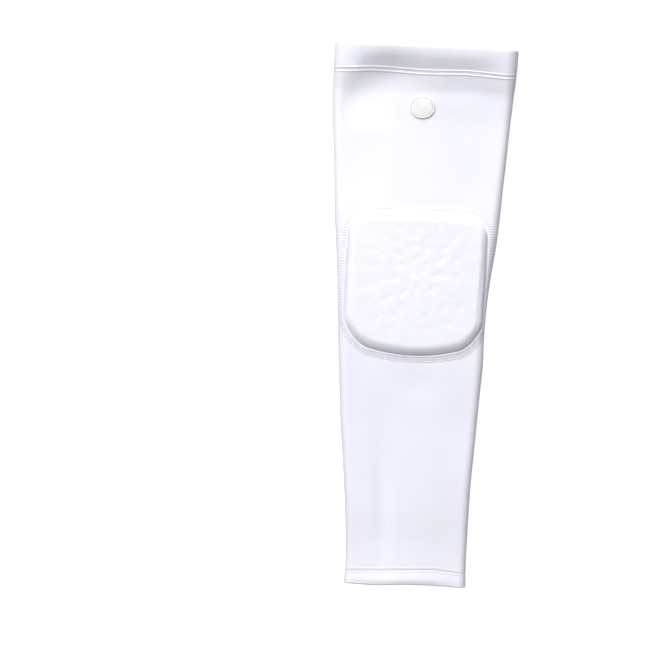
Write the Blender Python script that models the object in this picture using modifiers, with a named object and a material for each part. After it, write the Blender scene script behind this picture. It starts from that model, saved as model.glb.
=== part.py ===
"""Padded arm sleeve, lying flat with its elbow pad up. Metres, +Z up, +Y towards the upper arm.

The sleeve is a flattened knit tube with a turned-under hem at each end. A moulded foam pad sits on
its front under a cover that is sewn down all round, and a small raised badge sits near the upper
mouth. The underside rests at Z = 0, and the origin is below the middle of the sleeve's box.
"""

import math
from collections import namedtuple
from functools import lru_cache

import bmesh
import bpy
from mathutils import Vector

# Overall size of the sleeve as it lies
SLEEVE_LENGTH = 0.388
UPPER_WIDTH = 0.132
WRIST_WIDTH = 0.087
SIDE_HEIGHT = 0.0112  # the rounded side fold of the upper arm
CROWN = 0.0015  # how far the front layer's middle stands above the sides
MIDDLE_FROM_MOUTH = 0.19295  # upper mouth to the middle of the sleeve's box
BOW = 0.0030  # how far the middle of the sleeve bends towards -X

# Fabric
WALL = 0.0016
HEM_THICKNESS = 0.0022  # two layers and the seam allowance
UPPER_HEM = 0.0183  # mouth to seam
WRIST_HEM = 0.0107
SEAM_WAVE = 0.001
SEAM_BEAD = 0.0006  # how far the fabric swells beside a seam
BEAD_LENGTH = 0.0026
HEM_HOLLOW = 0.0002  # how far the upper hem's face sinks between its fold and its seam
DENT_DEPTH = 0.0016
GAP = 0.0003  # clearance between pieces that meet

# Elbow pad
PAD_WIDTH = 0.0985
PAD_LENGTH = 0.0910  # without the bulges of its two ends
PAD_FROM_MOUTH = 0.1660  # upper mouth to the pad's middle
PAD_SHIFT = 0.0012  # the pad's middle, towards +X from the sleeve's own middle
PAD_RISE = 0.0060  # top of the cover above the sleeve's front
PAD_BEVEL = 0.0070  # at its two ends
PAD_SIDE_BEVEL = 0.0042
PAD_UPPER_CORNER = 0.0155
PAD_LOWER_CORNER = 0.0170
PAD_TAPER = 0.015  # share of its width that the pad loses towards the wrist
PAD_SIDE_BULGE = 0.010  # share by which its sides bow out
PAD_UPPER_BULGE = 0.0015  # how far the end towards the upper arm bows out
PAD_LOWER_BULGE = 0.0103
COVER_THICKNESS = 0.0012
FLANGE_WIDTH = 0.0052
PAD_GAP = 0.0004  # between the pad and the knit below it

# Badge
BADGE_WIDTH = 0.0180
BADGE_LENGTH = 0.0158
BADGE_THICKNESS = 0.0012
BADGE_BEVEL = 0.0007
BADGE_FROM_MOUTH = 0.0436

# How finely the solids are faceted
TOP_STEPS = 16
SIDE_STEPS = 8
BOTTOM_STEPS = 8
CORNER_STEPS = 9
EDGE_STEPS = 5
FOLD_STEPS = 4
BADGE_STEPS = 24
TUBE_ROWS = 24
MOUTH_ROWS = 4
MOUTH_ROW = 0.0045
WELD = 0.00002

# Cross-sections from the upper mouth (share 0) to the wrist (share 1). width is 1 at UPPER_WIDTH and
# 0 at WRIST_WIDTH, bow is a share of BOW, side of SIDE_HEIGHT and crown of CROWN.
Section = namedtuple("Section", "share width bow side crown")
SECTIONS = (
    Section(0.000, 1.00, -0.08, 1.75, 1.00),
    Section(0.008, 1.00, -0.06, 1.74, 1.00),
    Section(0.020, 1.00, 0.00, 1.65, 1.00),
    Section(0.030, 1.00, 0.04, 1.52, 1.00),
    Section(0.047, 0.99, 0.11, 1.34, 1.00),
    Section(0.065, 0.98, 0.22, 1.21, 1.00),
    Section(0.085, 0.96, 0.36, 1.09, 1.00),
    Section(0.110, 0.94, 0.44, 1.02, 1.00),
    Section(0.140, 0.90, 0.48, 1.00, 1.00),
    Section(0.20, 0.83, 0.48, 1.00, 1.05),
    Section(0.25, 0.77, 0.54, 1.02, 1.20),
    Section(0.31, 0.71, 0.62, 1.10, 1.00),
    Section(0.365, 0.62, 0.68, 1.12, 0.70),
    Section(0.42, 0.515, 0.90, 1.12, 0.60),
    Section(0.475, 0.445, 1.06, 1.12, 0.60),
    Section(0.53, 0.405, 0.95, 1.12, 0.60),
    Section(0.585, 0.375, 0.76, 1.10, 0.70),
    Section(0.64, 0.31, 0.73, 1.04, 0.90),
    Section(0.70, 0.24, 0.68, 0.98, 1.00),
    Section(0.75, 0.17, 0.56, 0.98, 1.00),
    Section(0.81, 0.09, 0.42, 0.97, 1.00),
    Section(0.865, 0.04, 0.25, 0.97, 1.00),
    Section(0.92, 0.00, 0.08, 0.99, 1.05),
    Section(0.956, -0.01, 0.05, 1.02, 1.15),
    Section(1.00, 0.01, 0.08, 1.05, 1.30),
)

# How far the front layer stands above the sides near the open mouth, in millimetres: at the fold, on
# the hem, at its seam and over the knit below it.
Front = namedtuple("Front", "across fold crest brow slope low seam near middle far")
FRONT_DISTANCES = (0.0, 0.003, 0.0075, 0.012, 0.016, 0.0183, 0.024, 0.031, 0.040)
FRONTS = (
    Front(-1.00, 0.0, 0.0, 0.0, 0.0, 0.0, 0.0, 0.0, 0.0, 0.0),
    Front(-0.93, 1.1, 1.2, 0.9, 0.5, 0.4, 0.3, -0.2, -0.7, -0.5),
    Front(-0.80, 2.6, 2.8, 2.3, 1.3, 0.5, 0.3, -0.7, -1.5, -1.0),
    Front(-0.55, 3.0, 3.2, 2.5, 1.1, 0.0, -0.4, -1.3, -1.4, -0.4),
    Front(-0.30, 2.8, 3.0, 2.3, 0.9, -0.3, -0.7, -0.9, -0.3, 0.7),
    Front(0.00, 2.5, 2.7, 2.1, 0.9, -0.1, -0.4, -0.1, 0.7, 1.4),
    Front(0.30, 2.3, 2.5, 2.1, 1.2, 0.3, 0.1, 0.4, 0.8, 1.3),
    Front(0.60, 1.8, 2.0, 1.8, 1.3, 0.6, 0.4, 0.8, 0.6, 0.7),
    Front(0.85, 0.6, 0.8, 0.8, 0.6, 0.3, 0.2, 0.4, 0.2, 0.2),
    Front(1.00, 0.0, 0.0, 0.0, 0.0, 0.0, 0.0, 0.0, 0.0, 0.0),
)
LEVEL_DISTANCES = (0.056, 0.072)  # from here on the front has only its crown

# How far each edge and seam strays along the sleeve, as a share of SEAM_WAVE, towards the wrist.
# across is -1 at the -X side of the front and 1 at its +X side.
Wave = namedtuple("Wave", "across mouth upper wrist cuff")
WAVES = (
    Wave(-1.0, -2.4, 0.1, 0.3, -0.3),
    Wave(-0.6, -2.3, -1.3, 0.0, 0.3),
    Wave(0.0, -2.2, 0.0, -1.3, -0.8),
    Wave(0.5, -1.7, -0.6, -2.0, -0.9),
    Wave(0.8, -1.0, 0.3, -1.2, -0.6),
    Wave(1.0, -0.1, 1.1, -0.3, -0.2),
)
WAVE_REACH = 0.10  # share of the sleeve's length over which a seam's stray dies out

# Soft dents in the front layer. share and across give the middle, length and breadth the reach in
# the same shares, and depth is a share of DENT_DEPTH, below zero for a swelling.
Dent = namedtuple("Dent", "share across length breadth depth")
DENTS = (
    Dent(0.625, 0.12, 0.030, 0.38, 0.45),
    Dent(0.850, -0.46, 0.120, 0.20, 0.55),
    Dent(0.910, 0.62, 0.060, 0.20, 0.25),
)

# The hollow between a hem's seam and its fold. place is a share of the hem's depth, counted from its
# fold, and sink is a share of the hollow's depth.
HemHollow = namedtuple("HemHollow", "place sink")
HEM_HOLLOWS = (
    HemHollow(0.66, 1.0),
    HemHollow(0.46, 0.4),
    HemHollow(0.28, 0.0),
)

Material = namedtuple("Material", "colour roughness")
KNIT = Material((0.86, 0.86, 0.89, 1.0), 0.80)
COVER = Material((0.88, 0.88, 0.91, 1.0), 0.72)
FOAM = Material((0.80, 0.80, 0.80, 1.0), 0.90)
SILICONE = Material((0.88, 0.88, 0.88, 1.0), 0.35)


# Smooth tables


def smooth_at(keys, values, at):
    """The value at a place between the keys, on a smooth curve through all the values."""
    at = min(max(at, keys[0]), keys[-1])
    last = len(keys) - 2
    index = min(sum(at >= k for k in keys[1:]), last)

    def slope(i):
        low, high = max(i - 1, 0), min(i + 1, last + 1)
        return (values[high] - values[low]) / (keys[high] - keys[low])

    span = keys[index + 1] - keys[index]
    t = (at - keys[index]) / span
    return (
        (2 * t**3 - 3 * t**2 + 1) * values[index]
        + (t**3 - 2 * t**2 + t) * span * slope(index)
        + (3 * t**2 - 2 * t**3) * values[index + 1]
        + (t**3 - t**2) * span * slope(index + 1)
    )


def smooth_column(rows, key, column, at):
    """The column's value where the key column is at, on a smooth curve through the rows."""
    keys = [getattr(row, key) for row in rows]
    return smooth_at(keys, [getattr(row, column) for row in rows], at)


def straight_column(anchors, at):
    """The value at a place along (place, value) anchors that are joined by straight lines."""
    for (low, first), (high, second) in zip(anchors, anchors[1:]):
        if at <= high:
            return first + (second - first) * max(at - low, 0.0) / (high - low)
    return anchors[-1][1]


# The sleeve's surface


@lru_cache(maxsize=None)
def front_column(across):
    """The front layer's heights near the mouth along one line of the sleeve, in metres."""
    columns = Front._fields[1:]
    return [smooth_column(FRONTS, "across", column, across) / 1000 for column in columns]


class SleeveSection:
    """One cross-section: a flat underside, two half-round sides of one radius and a crowned front."""

    def __init__(self, share):
        self.share = min(max(share, 0.0), 1.0)
        width = smooth_column(SECTIONS, "share", "width", self.share)
        side = smooth_column(SECTIONS, "share", "side", self.share)
        self.radius = SIDE_HEIGHT * side / 2
        self.flat = (WRIST_WIDTH + (UPPER_WIDTH - WRIST_WIDTH) * width) / 2 - self.radius
        self.crown = CROWN * smooth_column(SECTIONS, "share", "crown", self.share)
        self.middle = -BOW * smooth_column(SECTIONS, "share", "bow", self.share)
        self.side_length = math.pi * self.radius
        self.half_girth = 2 * self.flat + self.side_length

    def front_height(self, across):
        """Height of the front layer's outside, where across runs from -1 to 1 over the flat part."""
        fade = (1 - across**2) ** 2
        above_sides = fade * self.crown
        distance = self.share * SLEEVE_LENGTH
        if distance < LEVEL_DISTANCES[-1]:
            heights = front_column(round(across, 3)) + [fade * CROWN, fade * CROWN]
            above_sides = smooth_at(FRONT_DISTANCES + LEVEL_DISTANCES, heights, distance)
        dents = sum(
            dent.depth
            * math.exp(
                -(((self.share - dent.share) / dent.length) ** 2)
                - ((across - dent.across) / dent.breadth) ** 2
            )
            for dent in DENTS
        )
        return 2 * self.radius + above_sides - (1 - across**4) * DENT_DEPTH * dents

    def point(self, along, lift):
        """(x, z) at a distance along the section from the middle of its front, lifted off the fabric."""
        side = math.copysign(1.0, along)
        reach = abs(along)
        if reach <= self.flat:
            step = 0.01
            across = reach * side / self.flat
            slope = (
                self.front_height(min(across + step, 1.0))
                - self.front_height(max(across - step, -1.0))
            ) / (2 * step * self.flat)
            tilt = math.hypot(slope, 1.0)
            return (
                self.middle + along - lift * slope / tilt,
                self.front_height(across) + lift / tilt,
            )
        if reach <= self.flat + self.side_length:
            turn = (reach - self.flat) / self.radius
            out = self.radius + lift
            return (
                self.middle + side * (self.flat + out * math.sin(turn)),
                self.radius + out * math.cos(turn),
            )
        return self.middle + side * (self.half_girth - reach), -lift


def strayed(distance, across):
    """The distance from the upper mouth, moved as the wavy seams near it stray."""
    reach = WAVE_REACH * SLEEVE_LENGTH
    upper_seam = UPPER_HEM
    wrist_seam = SLEEVE_LENGTH - WRIST_HEM
    anchors = (
        (0.0, smooth_column(WAVES, "across", "mouth", across)),
        (upper_seam, smooth_column(WAVES, "across", "upper", across)),
        (upper_seam + reach, 0.0),
        (wrist_seam - reach, 0.0),
        (wrist_seam, smooth_column(WAVES, "across", "wrist", across)),
        (SLEEVE_LENGTH, smooth_column(WAVES, "across", "cuff", across)),
    )
    return distance + SEAM_WAVE * straight_column(anchors, distance)


def on_sleeve(along, distance, lift):
    """A point over the sleeve: along round the section, distance from the mouth, lift off the outside."""
    section = SleeveSection(distance / SLEEVE_LENGTH)
    x, z = section.point(along, lift)
    reach = abs(along)
    across = math.copysign(min(reach / section.flat, 1.0), along)
    round_side = min(max((reach - section.flat) / section.side_length, 0.0), 1.0)
    shift = (strayed(distance, across) - distance) * (1 - round_side)
    return Vector((x, MIDDLE_FROM_MOUTH - distance - shift, z))


def girth_places(section):
    """Distances round the section, from the middle of the underside over the front and back again."""
    stops = (
        (-section.half_girth, BOTTOM_STEPS // 2),
        (-section.flat - section.side_length, SIDE_STEPS),
        (-section.flat, TOP_STEPS),
        (section.flat, SIDE_STEPS),
        (section.flat + section.side_length, BOTTOM_STEPS // 2),
        (section.half_girth, 0),
    )
    places = []
    for (start, steps), (end, _) in zip(stops, stops[1:]):
        places += [start + (end - start) * step / steps for step in range(steps)]
    return places + [section.half_girth]


# Building tools


def shaped_grid(columns, rows, place):
    """A mesh made from a flat grid whose corner in column i and row j goes to place(i, j)."""
    shape = bmesh.new()
    bmesh.ops.create_grid(shape, x_segments=columns, y_segments=rows, size=1.0)
    for vert in shape.verts:
        column = round((vert.co.x + 1) / 2 * columns)
        row = round((vert.co.y + 1) / 2 * rows)
        vert.co = place(column, row)
    bmesh.ops.remove_doubles(shape, verts=shape.verts, dist=WELD)
    bmesh.ops.recalc_face_normals(shape, faces=shape.faces)
    return shape


def finished_part(name, shape, material, collection, parent):
    """The shape as a named object in the collection, with a material of its own."""
    mesh = bpy.data.meshes.new(name)
    shape.to_mesh(mesh)
    shape.free()
    mesh.shade_smooth()
    surface = bpy.data.materials.new(name)
    surface.use_nodes = True
    shader = surface.node_tree.nodes["Principled BSDF"]
    shader.inputs["Base Color"].default_value = material.colour
    shader.inputs["Roughness"].default_value = material.roughness
    mesh.materials.append(surface)
    part = bpy.data.objects.new(name, mesh)
    part.parent = parent
    collection.objects.link(part)
    return part


def give_wall(part, thickness):
    """Gives an open surface a wall that grows inwards."""
    wall = part.modifiers.new("wall", "SOLIDIFY")
    wall.thickness = thickness
    wall.offset = -1.0
    wall.use_even_offset = True


# The knit tube


def bead(distance_to_seam):
    """How far the fabric swells near a seam, by its distance from the seam's edge."""
    if distance_to_seam >= BEAD_LENGTH:
        return 0.0
    return SEAM_BEAD * math.sin(math.pi * distance_to_seam / BEAD_LENGTH)


def tube_distances():
    """Distances from the mouth at which the tube has a ring, closer together beside its two seams."""
    start = UPPER_HEM + GAP
    end = SLEEVE_LENGTH - WRIST_HEM - GAP / 2
    beside_seam = [0.0, BEAD_LENGTH / 2, BEAD_LENGTH]
    mouth_slope = [BEAD_LENGTH + MOUTH_ROW * row for row in range(1, MOUTH_ROWS + 1)]
    inner_start = start + mouth_slope[-1]
    inner_end = end - BEAD_LENGTH
    inside = [
        inner_start + (inner_end - inner_start) * row / TUBE_ROWS for row in range(1, TUBE_ROWS)
    ]
    upper = [start + step for step in beside_seam + mouth_slope]
    lower = [end - step for step in reversed(beside_seam)]
    return upper + inside + lower


def make_tube(collection, parent):
    distances = tube_distances()
    rings = [girth_places(SleeveSection(d / SLEEVE_LENGTH)) for d in distances]
    start, end = distances[0], distances[-1]

    def place(column, row):
        distance = distances[row]
        swell = bead(distance - start) + bead(end - distance) / 2
        along = rings[row][column]
        on_front = abs(along) < SleeveSection(distance / SLEEVE_LENGTH).flat
        return on_sleeve(along, distance, swell if on_front else 0.0)

    shape = shaped_grid(len(rings[0]) - 1, len(distances) - 1, place)
    tube = finished_part("sleeve_tube", shape, KNIT, collection, parent)
    give_wall(tube, WALL)


# The turned-under hems


def hem_outline(length, hollow, swell):
    """(distance from the fold, lift) round a hem's cross-section, from its seam up the outside."""
    half = HEM_THICKNESS / 2
    seam = [
        (length, -SEAM_BEAD / 2),
        (length - BEAD_LENGTH / 2, swell),
        (length - BEAD_LENGTH, 0.0),
    ]
    face = [(length * point.place, -hollow * point.sink) for point in HEM_HOLLOWS]
    turns = [math.pi * step / FOLD_STEPS for step in range(FOLD_STEPS + 1)]
    fold = [(half - half * math.sin(turn), half * math.cos(turn) - half) for turn in turns]
    inside = [(length * share, -HEM_THICKNESS) for share in (0.25, 0.5, 0.75, 1.0)]
    return seam + face + fold + inside


def make_hem(name, outline, from_mouth, collection, parent):
    """A closed ring of fabric. from_mouth turns a distance from the fold into one from the mouth."""
    distances = [from_mouth(distance) for distance, _ in outline]
    rings = [girth_places(SleeveSection(d / SLEEVE_LENGTH)) for d in distances]
    count = len(outline)

    def place(column, row):
        row %= count
        along = rings[row][column]
        section = SleeveSection(distances[row] / SLEEVE_LENGTH)
        lift = outline[row][1]
        if abs(along) > section.flat:
            lift = min(lift, 0.0)
        return on_sleeve(along, distances[row], lift)

    shape = shaped_grid(len(rings[0]) - 1, count, place)
    finished_part(name, shape, KNIT, collection, parent)


# The elbow pad


def pad_ring(inset, scale, clear=0.0):
    """(across, towards the upper arm) round the pad's outline, inset and then scaled to its middle.

    The inset is the one at the pad's ends, and shrinks to that of the narrower bevel at its sides.
    clear is a further inset that is the same all round.
    """
    side_inset = inset * (PAD_SIDE_BEVEL / PAD_BEVEL if inset > 0 else 1) + clear
    end_inset = inset + clear
    half_width = PAD_WIDTH / 2 - side_inset
    half_length = PAD_LENGTH / 2 - end_inset
    corners = (
        (1, 1, PAD_UPPER_CORNER, 0),
        (-1, 1, PAD_UPPER_CORNER, 90),
        (-1, -1, PAD_LOWER_CORNER, 180),
        (1, -1, PAD_LOWER_CORNER, 270),
    )
    arcs = []
    for side, end, corner, first_angle in corners:
        across_radius = corner - side_inset
        up_radius = corner - end_inset
        arcs.append(
            [
                Vector(
                    (
                        side * (half_width - across_radius) + across_radius * math.cos(angle),
                        end * (half_length - up_radius) + up_radius * math.sin(angle),
                    )
                )
                for angle in (
                    math.radians(first_angle + 90 * step / CORNER_STEPS)
                    for step in range(CORNER_STEPS + 1)
                )
            ]
        )
    ring = []
    for arc, following in zip(arcs, arcs[1:] + arcs[:1]):
        ring += arc
        ring += [arc[-1].lerp(following[0], step / EDGE_STEPS) for step in range(1, EDGE_STEPS)]
    return [bulged(point, half_width, half_length) * scale for point in ring + ring[:1]]


def bulged(point, half_width, half_length):
    """A point of the pad's outline with the sides bowed out and narrowed towards the wrist."""
    across, up = point
    out_across = 1 + PAD_SIDE_BULGE * (1 - (up / half_length) ** 2)
    end_bulge = PAD_UPPER_BULGE if up > 0 else PAD_LOWER_BULGE
    out_up = end_bulge * (1 - (across / half_width) ** 2) * up / half_length
    narrowing = 1 - PAD_TAPER * (0.5 - up / (2 * half_length))
    return Vector((across * out_across * narrowing, up + out_up))


def pad_point(flat_point, lift):
    """A point of the pad's own flat plan, wrapped over the sleeve's front and lifted off it."""
    return on_sleeve(PAD_SHIFT + flat_point.x, PAD_FROM_MOUTH - flat_point.y, lift)


def bevel_rise(inset):
    """Share of the pad's rise that its rounded edge has at an inset from its foot."""
    return math.sin(math.pi / 2 * min(inset / PAD_BEVEL, 1.0))


PadRow = namedtuple("PadRow", "inset scale lift clear", defaults=(0.0,))
BEVEL_SHARES = (0.06, 0.2, 0.42, 0.7, 1.0)
TOP_SCALES = (0.72, 0.4, 0.0)
UNDERSIDE_STEPS = 3
FLANGE_STEPS = 3


def cover_rows():
    """The outside of the pad's cover, from the edge of its sewn flange to the middle of its top."""
    on_fabric = PAD_GAP + COVER_THICKNESS
    rows = [
        PadRow(-FLANGE_WIDTH * (1 - step / FLANGE_STEPS), 1.0, on_fabric)
        for step in range(FLANGE_STEPS)
    ]
    rows.append(PadRow(-COVER_THICKNESS / 2, 1.0, on_fabric))
    climb = PAD_RISE - on_fabric
    for share in BEVEL_SHARES:
        inset = share * PAD_BEVEL
        rows.append(PadRow(inset, 1.0, on_fabric + climb * bevel_rise(inset)))
    rows += [PadRow(PAD_BEVEL, scale, PAD_RISE) for scale in TOP_SCALES]
    return rows


def core_rows():
    """The foam core, from the middle of its underside round its edge to the middle of its top."""
    clear = COVER_THICKNESS + GAP
    rows = [PadRow(PAD_BEVEL, scale, PAD_GAP, clear) for scale in reversed(TOP_SCALES)]
    for step in range(UNDERSIDE_STEPS + 1):
        rows.append(PadRow(PAD_BEVEL * (1 - step / UNDERSIDE_STEPS), 1.0, PAD_GAP, clear))
    climb = PAD_RISE - clear - PAD_GAP
    for share in BEVEL_SHARES:
        inset = share * PAD_BEVEL
        rows.append(PadRow(inset, 1.0, PAD_GAP + climb * bevel_rise(inset), clear))
    rows += [PadRow(PAD_BEVEL, scale, PAD_RISE - clear, clear) for scale in TOP_SCALES]
    return rows


def pad_shape(rows):
    rings = [pad_ring(row.inset, row.scale, row.clear) for row in rows]
    return shaped_grid(
        len(rings[0]) - 1,
        len(rows) - 1,
        lambda column, row: pad_point(rings[row][column], rows[row].lift),
    )


def make_pad(collection, parent):
    cover = finished_part("pad_cover", pad_shape(cover_rows()), COVER, collection, parent)
    give_wall(cover, COVER_THICKNESS)
    finished_part("foam_core", pad_shape(core_rows()), FOAM, collection, parent)


# The badge


def make_badge(collection, parent):
    """A plain oval of raised silicone with its upper edge bevelled."""
    top = GAP + BADGE_THICKNESS
    rows = (
        (0.0, GAP),
        (1.0, GAP),
        (1.0, top - BADGE_BEVEL),
        (1.0 - 2 * BADGE_BEVEL / BADGE_WIDTH, top),
        (0.0, top),
    )

    def place(column, row):
        scale, lift = rows[row]
        turn = 2 * math.pi * column / BADGE_STEPS
        across = BADGE_WIDTH / 2 * scale * math.cos(turn)
        up = BADGE_LENGTH / 2 * scale * math.sin(turn)
        return on_sleeve(across, BADGE_FROM_MOUTH - up, lift)

    shape = shaped_grid(BADGE_STEPS, len(rows) - 1, place)
    finished_part("badge", shape, SILICONE, collection, parent)


def main():
    for leftover in list(bpy.data.objects):
        bpy.data.objects.remove(leftover)
    collection = bpy.data.collections.new("arm_sleeve")
    bpy.context.scene.collection.children.link(collection)
    parent = bpy.data.objects.new("arm_sleeve_frame", None)
    collection.objects.link(parent)

    make_tube(collection, parent)
    upper = hem_outline(UPPER_HEM - GAP / 2, HEM_HOLLOW, SEAM_BEAD)
    make_hem("upper_hem", upper, lambda distance: distance, collection, parent)
    wrist = hem_outline(WRIST_HEM - GAP / 2, 0.0, SEAM_BEAD / 2)
    make_hem("wrist_hem", wrist, lambda distance: SLEEVE_LENGTH - distance, collection, parent)
    make_pad(collection, parent)
    make_badge(collection, parent)


main()
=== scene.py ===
"""Finish of the padded arm sleeve: fine knit, sewn hems, stitched elbow pad, foam, badge and studio.

Metres, +Z up, +Y towards the upper arm. The sleeve lies flat with its pad up, as the frame has it.
"""

import math
from collections import namedtuple
from functools import lru_cache

import bmesh
import bpy
from mathutils import Matrix, Vector, noise


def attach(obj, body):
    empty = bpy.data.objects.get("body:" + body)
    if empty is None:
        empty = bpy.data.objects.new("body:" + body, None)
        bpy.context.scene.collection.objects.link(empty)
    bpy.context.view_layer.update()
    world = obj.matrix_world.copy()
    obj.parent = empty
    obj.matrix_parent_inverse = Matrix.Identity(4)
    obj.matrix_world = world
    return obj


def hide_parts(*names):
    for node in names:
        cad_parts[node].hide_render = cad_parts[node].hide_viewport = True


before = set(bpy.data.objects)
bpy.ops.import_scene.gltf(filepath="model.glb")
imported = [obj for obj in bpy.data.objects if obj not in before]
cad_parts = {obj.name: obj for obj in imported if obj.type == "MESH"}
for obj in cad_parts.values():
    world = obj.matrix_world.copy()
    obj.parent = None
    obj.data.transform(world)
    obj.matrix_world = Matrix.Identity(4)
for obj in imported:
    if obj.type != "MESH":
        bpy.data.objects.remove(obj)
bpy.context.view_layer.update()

# The sleeve as it lies
SLEEVE_LENGTH = 0.388
UPPER_WIDTH = 0.132
WRIST_WIDTH = 0.087
SIDE_HEIGHT = 0.0112
CROWN = 0.0015
MIDDLE_FROM_MOUTH = 0.19295
BOW = 0.0030

# Knit and hems
WALL = 0.0016
HEM_THICKNESS = 0.0022
HEM_LAYER = 0.00105
UPPER_HEM = 0.0183
WRIST_HEM = 0.0107
BACK_TUCK = 0.0014  # how much shorter the back layer ends at the wrist
SEAM_WAVE = 0.001
SEAM_GAP = 0.00012
NEEDLE_SPREAD = 0.0014  # each needle line's distance from its seam
UPPER_RIDGE = 0.00030
WRIST_RIDGE = 0.00012
RIDGE_WIDTH = 0.00045
NEEDLE_GROOVE = 0.00045  # how deep the needle lines lie in the underside
HEM_FORM = 0.0010
DENT_DEPTH = 0.0016
DRAPE = 0.00022
PUCKER = 0.00013

# Elbow pad
PAD_WIDTH = 0.0985
PAD_LENGTH = 0.0910  # without the bulges of its two ends
PAD_FROM_MOUTH = 0.1660
PAD_SHIFT = 0.0012
PAD_RISE = 0.0050
PAD_BEVEL = 0.0068  # at its two ends
PAD_SIDE_BEVEL = 0.0050
PAD_FOOT = 0.24
PAD_FOOT_WIDTH = 0.0006
PAD_UPPER_CORNER = 0.0155
PAD_LOWER_CORNER = 0.0170
PAD_TAPER = 0.015
PAD_SIDE_BULGE = 0.010
PAD_UPPER_BULGE = 0.0015  # how far the end towards the upper arm bows out
PAD_LOWER_BULGE = 0.0098
COVER_THICKNESS = 0.0011
COVER_GAP = 0.00006
FLANGE_WIDTH = 0.0054
FLANGE_THICKNESS = 0.0005
FLANGE_EDGE = 0.00008
WELT_INSET = -0.0015
WELT_HEIGHT = 0.0005
WELT_WIDTH = 0.0005
CREASE_INSET = -0.0004
CREASE_DEPTH = 0.0004
CREASE_WIDTH = 0.0004
FOAM_GAP = 0.0003
CELL_DEPTH = 0.00038
CELL_UNEVENNESS = 0.006  # size of the small swells between the dents
DENT_STRAY = 0.0035
DENT_LEAN = 2.4  # turn from each dent's direction to the next one's
DENT_REACH = 0.011

# Where the seam at the pad's foot lies flat, across and along the pad's plan
FLAT_TOWARDS_END = 0.030  # length below the pad's upper end
FLAT_AT_RIGHT = (0.040, 0.048)
FLAT_ABOVE = (-0.040, -0.028)

# Painted shade in the seam at the pad's foot: between the stitch bars and in the crease
PAINTED_STITCH_SHADE = (0.95, 0.95, 0.97)
PAINTED_CREASE_SHADE = (0.74, 0.74, 0.78)
CREASE_SHADE_WIDTH = 0.0009
CREASE_SHADE_REACH = 0.042  # from the pad's middle, along its sides
CREASE_SHADE_FADE = 0.012

# Stitches
LADDER_INNER = -0.0022  # inset of the ladder stitch's inner row from the pad's foot
LADDER_OUTER = -0.0049
LADDER_PITCH = 0.0020
LADDER_THREAD = 0.00042
STITCH_SINK = 0.00018
HEM_STITCH = 0.0021
HEM_STITCH_PITCH = 0.0026
HEM_THREAD = 0.00036

# Badge
BADGE_WIDTH = 0.0180
BADGE_LENGTH = 0.0158
BADGE_THICKNESS = 0.0012
BADGE_FROM_MOUTH = 0.0436
BADGE_RIM = 0.0013
BADGE_STEPS = 72

# How finely the cloth is made
FRONT_STEPS = 72
SIDE_STEPS = 16
BACK_STEPS = 44
ROW_LENGTH = 0.0017
SEAM_ROW = 0.00032
SEAM_REACH = 0.0036
CORNER_STEPS = 26
EDGE_STEPS = 36
WELD = 0.00001

# The picture
PHOTO_SCALE = 0.00072  # metres a pixel
PHOTO_SIDE = 650
SLEEVE_TILT = math.radians(2.313)
CAMERA_HEIGHT = 6.0
SENSOR = 0.036
VIEW_CENTRE = Vector((-0.0650, -0.0096, 0.0))
SOFTBOX_PLACE = Vector((-0.82, 2.06, 2.02))
SOFTBOX_SIZE = (2.5, 2.3)
SOFTBOX_POWER = 127.0
ROOM_LIGHT = 0.31
TABLE_SIZE = 6.0
TABLE_HEIGHT = -0.0004
TABLE_GLOW = 0.93

# Cross-sections from the upper mouth (share 0) to the wrist (share 1). width is 1 at UPPER_WIDTH and
# 0 at WRIST_WIDTH, bow is a share of BOW, side of SIDE_HEIGHT and crown of CROWN.
Section = namedtuple("Section", "share width bow side crown")
SECTIONS = (
    Section(0.000, 1.00, -0.08, 1.75, 1.00),
    Section(0.008, 1.00, -0.06, 1.74, 1.00),
    Section(0.020, 1.00, 0.00, 1.68, 1.00),
    Section(0.030, 1.00, 0.04, 1.62, 1.00),
    Section(0.047, 0.99, 0.11, 1.50, 1.00),
    Section(0.065, 0.98, 0.22, 1.34, 1.00),
    Section(0.085, 0.96, 0.36, 1.16, 1.00),
    Section(0.110, 0.94, 0.44, 1.07, 1.00),
    Section(0.140, 0.90, 0.48, 1.01, 1.00),
    Section(0.20, 0.83, 0.48, 1.00, 1.05),
    Section(0.25, 0.77, 0.54, 1.02, 1.20),
    Section(0.31, 0.71, 0.62, 1.10, 1.00),
    Section(0.365, 0.628, 0.63, 1.12, 0.70),
    Section(0.42, 0.526, 0.82, 1.12, 0.60),
    Section(0.475, 0.455, 0.98, 1.12, 0.60),
    Section(0.53, 0.405, 0.95, 1.12, 0.60),
    Section(0.585, 0.375, 0.76, 1.10, 0.70),
    Section(0.64, 0.31, 0.73, 1.04, 0.90),
    Section(0.70, 0.24, 0.68, 0.98, 1.00),
    Section(0.75, 0.17, 0.56, 0.98, 1.00),
    Section(0.81, 0.09, 0.42, 0.98, 1.00),
    Section(0.865, 0.04, 0.25, 0.97, 1.00),
    Section(0.92, 0.00, 0.08, 0.91, 1.05),
    Section(0.956, -0.01, 0.05, 0.93, 1.15),
    Section(1.00, 0.01, 0.08, 1.00, 1.30),
)

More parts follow.
